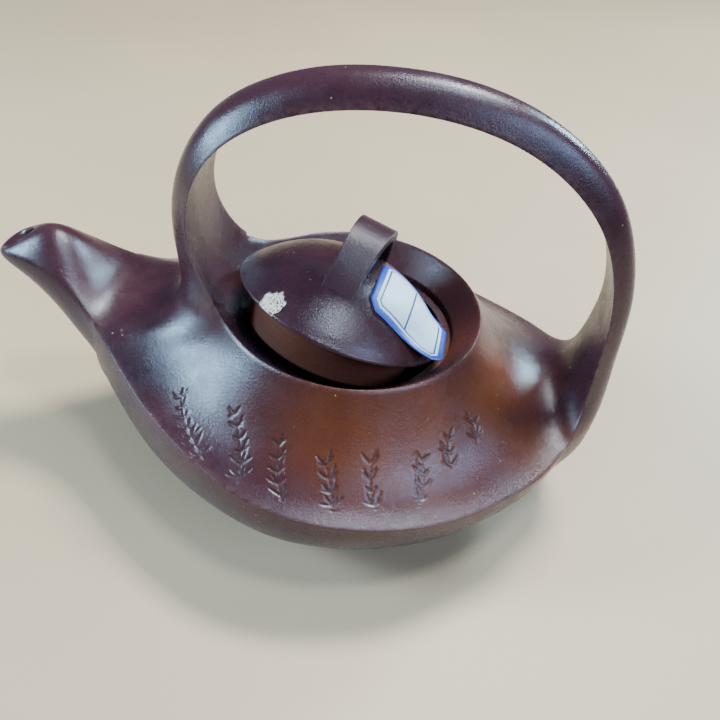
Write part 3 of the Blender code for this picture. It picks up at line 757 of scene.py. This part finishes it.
def turned_mesh(name, profile, segments, closed):
    """Quads turned about Z from a profile of (radius, height), closed into a ring or ending on Z."""
    work = bmesh.new()
    rings = []
    for radius, height in profile:
        if radius == 0.0:
            rings.append([work.verts.new((0.0, 0.0, height * MM))])
            continue
        rings.append([work.verts.new((radius * math.cos(2 * math.pi * step / segments) * MM,
                                      radius * math.sin(2 * math.pi * step / segments) * MM,
                                      height * MM)) for step in range(segments)])
    pairs = list(zip(rings, rings[1:]))
    if closed:
        pairs.append((rings[-1], rings[0]))
    for upper, lower in pairs:
        for step in range(segments):
            after = (step + 1) % segments
            corners = [upper[step % len(upper)], lower[step % len(lower)],
                       lower[after % len(lower)], upper[after % len(upper)]]
            work.faces.new(list(dict.fromkeys(corners)))
    bmesh.ops.recalc_face_normals(work, faces=work.faces)
    mesh = bpy.data.meshes.new(name)
    work.to_mesh(mesh)
    work.free()
    mesh.shade_smooth()
    return mesh


def lid_dome(materials):
    radii = [0.0, 1.2, 2.4] + [3.5 + 1.15 * step for step in range(32)]
    outside = [(radius, dome_height(radius)) for radius in radii if radius < 39.9]
    rim = []
    for step in range(7):
        angle = math.radians(62.0 - 25.0 * step)
        rim.append((LID_RADIUS - 0.9 + 0.9 * math.cos(angle), 0.95 + 0.95 * math.sin(angle)))
    inside = [(radius, dome_height(radius) - LID_WALL) for radius in (28.5, 24.0, 18.0, 10.0, 0.0)]
    profile = outside + rim + [(36.0, 0.05), (FLANGE_INNER, 0.0)] + inside
    mesh = turned_mesh("lid_dome", profile, LID_SEGMENTS, False)
    item = add_object("lid_dome_skin", mesh, materials)
    chip(mesh)
    item.matrix_world = lid_matrix()
    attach(item, "lid")
    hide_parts("lid_dome")
    return item


def chip(mesh):
    """A flake broken off the rim: the skin is refined there and pushed in."""
    along = math.atan2(CHIP_CENTRE[1], CHIP_CENTRE[0])
    across = Vector((math.cos(along), math.sin(along)))

    def inside(point):
        offset = Vector((point.x, point.y)) / MM - Vector(CHIP_CENTRE)
        out = offset.dot(across)
        side = offset.x * -across.y + offset.y * across.x
        way_round = math.atan2(side, out)
        rough = 0.10 * math.sin(5.0 * way_round + 1.0) + 0.07 * math.sin(11.0 * way_round)
        return math.hypot(side / CHIP_RADIUS[0], out / CHIP_RADIUS[1]) + rough

    work = bmesh.new()
    work.from_mesh(mesh)
    for _ in range(3):
        faces = [face for face in work.faces
                 if face.calc_center_median().z > 0.0005 and inside(face.calc_center_median()) < 1.35]
        edges = list({edge for face in faces for edge in face.edges})
        bmesh.ops.subdivide_edges(work, edges=edges, cuts=1, use_grid_fill=True)
    layer = work.verts.layers.float.new("chip")
    work.normal_update()
    draw = random.Random(7)
    pits = [(Vector((CHIP_CENTRE[0] + draw.uniform(-6, 6), CHIP_CENTRE[1] + draw.uniform(-6, 6))),
             draw.uniform(0.18, 0.42)) for _ in range(60)]
    for vert in work.verts:
        if vert.co.z < 0.0004 or inside(vert.co) > 1.3:
            continue
        share = min(1.0, max(0.0, (1.08 - inside(vert.co)) / 0.14))
        deep = share * CHIP_DEPTH
        flat = Vector((vert.co.x, vert.co.y)) / MM
        for centre, radius in pits:
            away = (flat - centre).length / radius
            if away < 1.0:
                deep += share * 0.45 * (1.0 - away * away)
        vert[layer] = share
        vert.co -= vert.normal * deep * MM
    work.to_mesh(mesh)
    work.free()


def lid_flange(materials):
    """The ring under the lid that stands in the mouth, with faint turning lines."""
    outer = []
    for step in range(29):
        share = step / 28.0
        groove = 0.018 * math.sin(share * 2 * math.pi * 6.0) + 0.01 * math.sin(share * 2 * math.pi * 13.0)
        height = -0.15 + (0.75 - FLANGE_DEPTH) * share
        outer.append((FLANGE_OUTER - 0.05 + groove * math.sin(math.pi * share) - 0.25 * share, height))
    foot = []
    for step in range(9):
        angle = math.pi * step / 8.0
        foot.append((FLANGE_OUTER - 1.55 + 1.2 * math.cos(angle),
                     -FLANGE_DEPTH + 0.75 - 0.75 * math.sin(angle)))
    inner = [(FLANGE_INNER + 0.1, -FLANGE_DEPTH + 1.0), (FLANGE_INNER, -8.0), (FLANGE_INNER, -0.15)]
    mesh = turned_mesh("lid_flange", outer + foot + inner, LID_SEGMENTS, True)
    item = add_object("lid_flange_ring", mesh, materials)
    item.matrix_world = lid_matrix()
    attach(item, "lid")
    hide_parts("lid_flange")
    return item


def lid_knob(materials):
    """Strap arch with soft edges. Its two feet spread where they are pressed onto the dome."""
    path = [Vector((0.0, y, z)) for y, z, _ in KNOB_PATH]
    cage = Cage()
    loops = []
    for place, (_, _, half) in enumerate(KNOB_PATH):
        before = path[max(place - 1, 0)]
        after = path[min(place + 1, len(path) - 1)]
        along = (after - before).normalized()
        out = Vector((0.0, -along.z, along.y))
        foot = place in (0, len(path) - 1)
        thick = KNOB_THICK / 2.0 * (1.25 if foot else 1.0)
        loop = []
        for number, (across, lift) in enumerate(((-1.0, -1.0), (-0.5, -1.0), (0.5, -1.0), (1.0, -1.0),
                                                 (1.0, 1.0), (0.5, 1.0), (-0.5, 1.0), (-1.0, 1.0))):
            point = path[place] + Vector((across * half, 0.0, 0.0)) + out * (lift * thick)
            loop.append(cage.put((place, number), point))
        loops.append(loop)
    for first, second in zip(loops, loops[1:]):
        cage.strip(first, second)
        for number in (0, 3, 4, 7):
            cage.crease(first[number], second[number], 0.72)
    cage.face(*loops[0])
    cage.face(*loops[-1])
    item = add_object("lid_knob_strap", cage.mesh("lid_knob"), materials)
    add_smoothing(item, 4)
    baked(item)
    item.data.shade_smooth()
    store(item.data, "wear", knob_wear(item.data))
    turn = Matrix.Rotation(math.radians(KNOB_TURN), 4, "Z")
    item.matrix_world = lid_matrix() @ turn
    trim_to_dome(item, turn)
    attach(item, "lid")
    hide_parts("lid_knob")
    return item


def knob_wear(mesh):
    """1 along the strap's long edges."""
    widest = max(half for _, _, half in KNOB_PATH) * MM
    across = np.abs(places(mesh)[:, 0]) / widest
    return np.clip((across - 0.84) / 0.1, 0.0, 1.0)


def trim_to_dome(item, turn):
    """Flattens what is below the dome onto it, so that the feet end on the clay."""
    for vert in item.data.vertices:
        point = turn @ vert.co
        sunk = (dome_height(math.hypot(point.x, point.y) / MM) - 0.4) * MM
        if vert.co.z < sunk:
            vert.co.z = sunk


# ---------------------------------------------------------------- label


def label_point(u, v):
    """Point over the dome for a place on the label, u along it and v across it, mm."""
    turn = math.radians(LABEL_TURN)
    x = LABEL_CENTRE[0] + u * math.cos(turn) - v * math.sin(turn)
    y = LABEL_CENTRE[1] + u * math.sin(turn) + v * math.cos(turn)
    radius = math.hypot(x, y)
    height = dome_height(min(radius, LABEL_LEAVES))
    if radius > LABEL_LEAVES:
        slope = dome_height(LABEL_LEAVES - 0.5) - dome_height(LABEL_LEAVES + 0.5)
        beyond = radius - LABEL_LEAVES
        height += LABEL_CURL * beyond * beyond - slope * beyond
    return Vector((x, y, height + LABEL_CLEAR)) * MM


def price_label(materials):
    length, width = LABEL_SIZE
    rows, columns = 36, 30
    work = bmesh.new()
    layer = work.loops.layers.uv.new("label")
    grid = []
    for row in range(rows + 1):
        line = []
        for column in range(columns + 1):
            u = (row / rows - 0.5) * length
            corner = max(0.0, abs(u) - (length / 2.0 - LABEL_CORNER))
            v = (column / columns - 0.5) * (width - 2.0 * corner)
            line.append((work.verts.new(label_point(u, v)), (u, v)))
        grid.append(line)
    for row in range(rows):
        for column in range(columns):
            corners = [grid[row][column], grid[row + 1][column],
                       grid[row + 1][column + 1], grid[row][column + 1]]
            face = work.faces.new([vert for vert, _ in corners])
            for loop, (_, place) in zip(face.loops, corners):
                loop[layer].uv = (place[0] / length + 0.5, place[1] / width + 0.5)
    mesh = bpy.data.meshes.new("price_label")
    work.to_mesh(mesh)
    work.free()
    mesh.shade_smooth()
    item = add_object("price_label_paper", mesh, materials)
    solid = item.modifiers.new("paper", "SOLIDIFY")
    solid.thickness = LABEL_THICK * MM
    solid.offset = 1.0
    baked(item)
    item.matrix_world = lid_matrix()
    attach(item, "lid")
    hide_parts("price_label")
    return item


# ---------------------------------------------------------------- materials


class Nodes:
    """Short names for building a node tree."""

    def __init__(self, name):
        self.material = bpy.data.materials.new(name)
        self.material.use_nodes = True
        self.tree = self.material.node_tree
        self.shader = self.tree.nodes["Principled BSDF"]

    def add(self, kind, **settings):
        node = self.tree.nodes.new("ShaderNode" + kind)
        for key, value in settings.items():
            setattr(node, key, value)
        return node

    def link(self, source, target):
        self.tree.links.new(source, target)

    def value(self, node, **inputs):
        for key, value in inputs.items():
            node.inputs[key].default_value = value

    def place(self):
        return self.add("TexCoord").outputs["Object"]

    def noise(self, scale, detail=3.0, roughness=0.5):
        node = self.add("TexNoise")
        self.link(self.place(), node.inputs["Vector"])
        node.inputs["Scale"].default_value = scale
        node.inputs["Detail"].default_value = detail
        node.inputs["Roughness"].default_value = roughness
        return node.outputs["Fac"]

    def math(self, operation, first, second=None, clamp=False):
        node = self.add("Math", operation=operation, use_clamp=clamp)
        for socket, value in zip(node.inputs, (first, second)):
            if isinstance(value, (int, float)):
                socket.default_value = value
            elif value is not None:
                self.link(value, socket)
        return node.outputs[0]

    def ramp(self, source, low, high, to_low=0.0, to_high=1.0):
        node = self.add("MapRange", interpolation_type="SMOOTHSTEP")
        self.link(source, node.inputs["Value"])
        node.inputs["From Min"].default_value = low
        node.inputs["From Max"].default_value = high
        node.inputs["To Min"].default_value = to_low
        node.inputs["To Max"].default_value = to_high
        return node.outputs["Result"]

    def mix(self, share, first, second):
        """Colour mix. first and second are colours or sockets, share a number or a socket."""
        node = self.add("Mix", data_type="RGBA")
        factor, a, b = node.inputs["Factor"], node.inputs[6], node.inputs[7]
        for socket, value in ((factor, share), (a, first), (b, second)):
            if isinstance(value, (int, float)):
                socket.default_value = value
            elif isinstance(value, tuple):
                socket.default_value = (*value, 1.0)
            else:
                self.link(value, socket)
        return node.outputs[2]

    def attribute(self, name):
        return self.add("Attribute", attribute_name=name).outputs["Fac"]

    def ball(self, centre, radius):
        """1 at a point, 0 beyond a radius along each axis, both in mm."""
        shift = self.add("VectorMath", operation="SUBTRACT")
        self.link(self.place(), shift.inputs[0])
        shift.inputs[1].default_value = [c * MM for c in centre]
        scale = self.add("VectorMath", operation="MULTIPLY")
        self.link(shift.outputs[0], scale.inputs[0])
        scale.inputs[1].default_value = [1.0 / (r * MM) for r in radius]
        size = self.add("VectorMath", operation="LENGTH")
        self.link(scale.outputs[0], size.inputs[0])
        return self.ramp(size.outputs["Value"], 0.0, 1.0, 1.0, 0.0)

    def specks(self, scale, size):
        """Small dots scattered through the clay."""
        node = self.add("TexVoronoi")
        self.link(self.place(), node.inputs["Vector"])
        node.inputs["Scale"].default_value = scale
        return self.ramp(node.outputs["Distance"], size * 0.6, size, 1.0, 0.0)

    def bump(self, *layers):
        """Bumps in a row: each layer is (height socket, depth in mm)."""
        normal = None
        for height, depth in layers:
            node = self.add("Bump")
            node.inputs["Strength"].default_value = 1.0
            node.inputs["Distance"].default_value = depth * MM
            self.link(height, node.inputs["Height"])
            if normal:
                self.link(normal, node.inputs["Normal"])
            normal = node.outputs["Normal"]
        self.link(normal, self.shader.inputs["Normal"])


def clay_material(name, base, dark, warm, warm_places, wear=True, cuts=False, chipped=False,
                  rough=0.27, shine=0.38):
    """Burnished clay: colour drifts, warmer where the fire was stronger, worn pale along edges, with painted
    shade in the incised cuts.
    """
    n = Nodes(name)
    drift = n.noise(32.0, 4.0, 0.55)
    colour = n.mix(n.ramp(drift, 0.28, 0.74), dark, base)
    heat = None
    for centre, radius, strength in warm_places:
        spot = n.math("MULTIPLY", n.ball(centre, radius), strength)
        heat = spot if heat is None else n.math("MAXIMUM", heat, spot)
    patch = n.ramp(n.noise(60.0, 2.0, 0.5), 0.2, 0.8, 0.8, 1.12)
    colour = n.mix(n.math("MULTIPLY", heat, patch, True), colour, warm)
    fine = n.noise(1900.0, 3.0, 0.7)
    colour = n.mix(n.ramp(fine, 0.60, 0.78, 0.0, 0.34), colour, (0.26, 0.14, 0.10))
    pale = n.math("MULTIPLY", n.specks(230.0, 0.085), n.ramp(n.noise(60.0), 0.5, 0.62))
    colour = n.mix(n.math("MULTIPLY", pale, 0.6), colour, (0.48, 0.34, 0.26))
    roughness = n.ramp(n.noise(110.0, 4.0, 0.6), 0.3, 0.75, rough - 0.04, rough + 0.08)
    if wear:
        worn = n.math("MULTIPLY", n.attribute("wear"), n.ramp(n.noise(420.0, 3.0), 0.32, 0.66, 0.0, 0.4))
        colour = n.mix(worn, colour, (0.15, 0.07, 0.06))
    if cuts:
        # Painted shade: the incised cuts are coloured darker to stand in for the shade inside them.
        colour = n.mix(n.math("MULTIPLY", n.attribute("cut"), 0.75), colour, (0.030, 0.014, 0.014))
    if chipped:
        bare = n.mix(n.ramp(n.noise(900.0, 2.0), 0.4, 0.6), (0.66, 0.45, 0.33), (0.80, 0.62, 0.49))
        pit = n.ramp(n.noise(1500.0, 1.0), 0.38, 0.43, 1.0, 0.0)
        bare = n.mix(pit, bare, (0.06, 0.035, 0.03))
        colour = n.mix(n.ramp(n.attribute("chip"), 0.35, 0.6), colour, bare)
        roughness = n.math("ADD", roughness, n.math("MULTIPLY", n.attribute("chip"), 0.5))
    n.link(colour, n.shader.inputs["Base Color"])
    n.link(roughness, n.shader.inputs["Roughness"])
    n.shader.inputs["Specular IOR Level"].default_value = shine
    n.shader.inputs["Sheen Weight"].default_value = 0.02
    n.shader.inputs["Sheen Roughness"].default_value = 0.5
    n.shader.inputs["Sheen Tint"].default_value = (0.55, 0.6, 1.0, 1.0)
    n.bump((n.noise(45.0, 3.0, 0.5), 0.22), (n.noise(800.0, 4.0, 0.65), 0.07), (fine, 0.08))
    return n.material


def paper_material():
    """Printed label: blue edge, white field, an inset line with cut corners and one dividing line."""
    n = Nodes("printed_paper")
    uv = n.add("UVMap", uv_map="label")
    split = n.add("SeparateXYZ")
    n.link(uv.outputs["UV"], split.inputs[0])
    length, width = LABEL_SIZE
    u = n.math("MULTIPLY", n.math("SUBTRACT", split.outputs[0], 0.5), length)
    v = n.math("MULTIPLY", n.math("SUBTRACT", split.outputs[1], 0.5), width)
    across = n.math("ABSOLUTE", u)
    up = n.math("ABSOLUTE", v)
    side = n.math("SUBTRACT", length / 2.0, across)
    top = n.math("SUBTRACT", width / 2.0, up)
    corner = n.math("MULTIPLY", n.math("SUBTRACT", n.math("ADD", side, top), LABEL_CORNER), 0.7071)
    inset = n.math("MINIMUM", n.math("MINIMUM", side, top), corner)
    white = n.ramp(inset, 2.2, 2.35)
    line = n.ramp(n.math("ABSOLUTE", n.math("SUBTRACT", inset, 3.7)), 0.26, 0.38, 1.0, 0.0)
    rule = n.ramp(n.math("ABSOLUTE", n.math("ADD", u, 0.8)), 0.28, 0.40, 1.0, 0.0)
    rule = n.math("MULTIPLY", rule, n.ramp(inset, 3.6, 3.7))
    fibre = n.ramp(n.noise(700.0, 4.0, 0.6), 0.3, 0.7, 0.0, 0.06)
    field = n.mix(fibre, (0.50, 0.58, 0.61), (0.42, 0.49, 0.52))
    colour = n.mix(white, (0.010, 0.042, 0.30), field)
    ink = n.math("MAXIMUM", line, rule)
    colour = n.mix(ink, colour, (0.012, 0.022, 0.10))
    n.link(colour, n.shader.inputs["Base Color"])
    n.link(n.ramp(n.noise(300.0), 0.3, 0.7, 0.36, 0.46), n.shader.inputs["Roughness"])
    n.bump((n.noise(900.0, 3.0, 0.6), 0.03))
    return n.material


def floor_material():
    n = Nodes("pale_floor")
    colour = n.mix(n.ramp(n.noise(3.0, 3.0), 0.3, 0.7), *FLOOR_COLOURS)
    n.link(colour, n.shader.inputs["Base Color"])
    n.shader.inputs["Roughness"].default_value = 0.55
    return n.material


# ---------------------------------------------------------------- stage


def add_camera():
    down, roll, yaw = (math.radians(angle) for angle in (CAMERA_DOWN, CAMERA_ROLL, CAMERA_YAW))
    pitched = Matrix(((1, 0, 0),
                      (0, -math.sin(down), -math.cos(down)),
                      (0, math.cos(down), -math.sin(down))))
    rolled = Matrix(((math.cos(roll), -math.sin(roll), 0), (math.sin(roll), math.cos(roll), 0), (0, 0, 1)))
    right, below, ahead = rolled @ pitched @ Matrix.Rotation(yaw, 3, "Z")
    lens = bpy.data.cameras.new("camera")
    lens.lens = CAMERA_LENS
    lens.sensor_width = 36.0
    lens.clip_start = 0.01
    item = bpy.data.objects.new("camera", lens)
    bpy.context.scene.collection.objects.link(item)
    item.matrix_world = (Matrix.Translation(Vector(CAMERA_PLACE) * MM)
                         @ Matrix((right, -below, -ahead)).transposed().to_4x4())
    bpy.context.scene.camera = item


def add_light(name, compass, height, distance, size, power, colour):
    """A soft rectangular lamp that faces the pot."""
    lamp = bpy.data.lights.new(name, "AREA")
    lamp.shape = "RECTANGLE"
    lamp.size, lamp.size_y = size
    lamp.energy = power
    lamp.color = colour
    item = bpy.data.objects.new(name, lamp)
    bpy.context.scene.collection.objects.link(item)
    aim = Vector((0.0, 0.0, 0.07))
    away = Vector((math.cos(height) * math.cos(compass),
                   math.cos(height) * math.sin(compass),
                   math.sin(height)))
    item.location = aim + away * distance
    item.rotation_euler = away.to_track_quat("Z", "Y").to_euler()


def add_stage():
    mesh = bpy.data.meshes.new("floor")
    work = bmesh.new()
    bmesh.ops.create_grid(work, x_segments=2, y_segments=2, size=3.0)
    work.to_mesh(mesh)
    work.free()
    floor = add_object("floor", mesh, [floor_material()])
    world = bpy.data.worlds.new("studio")
    bpy.context.scene.world = world
    world.use_nodes = True
    background = world.node_tree.nodes["Background"]
    background.inputs["Color"].default_value = (*WORLD_COLOUR, 1.0)
    background.inputs["Strength"].default_value = WORLD_STRENGTH
    for name, compass, height, distance, size, power, colour in LIGHTS:
        add_light(name, math.radians(compass), math.radians(height), distance, size, power, colour)


def main():
    add_camera()
    add_stage()
    plum, plum_dark, orange = (0.044, 0.012, 0.016), (0.026, 0.008, 0.012), (0.115, 0.028, 0.007)
    pot_heat = [((20.0, -52.0, 64.0), (66.0, 46.0, 40.0), 1.0),
                ((54.0, -24.0, 66.0), (40.0, 56.0, 34.0), 0.9),
                ((4.0, 0.0, 78.0), (60.0, 60.0, 16.0), 0.55), ((72.0, -36.0, 58.0), (34.0, 26.0, 26.0), 0.7)]
    lid_heat = [((28.0, -10.0, 4.0), (26.0, 30.0, 14.0), 0.5)]
    flange_heat = [((0.0, 0.0, -8.0), (90.0, 90.0, 60.0), 0.9)]
    pot = clay_material("burnished_clay", plum, plum_dark, orange, pot_heat, cuts=True)
    dome = clay_material("lid_clay", plum, plum_dark, orange, lid_heat, wear=False, chipped=True, rough=0.26)
    ring = clay_material("raw_clay", plum, plum_dark, orange, flange_heat,
                         wear=False, rough=0.55, shine=0.15)
    strap = clay_material("knob_clay", plum, plum_dark, orange, lid_heat, rough=0.34, shine=0.30)
    pot_skin([pot])
    lid_dome([dome])
    lid_flange([ring])
    lid_knob([strap])
    price_label([paper_material()])
    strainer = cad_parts["spout_strainer"]
    strainer.data.materials.clear()
    strainer.data.materials.append(ring)


main()
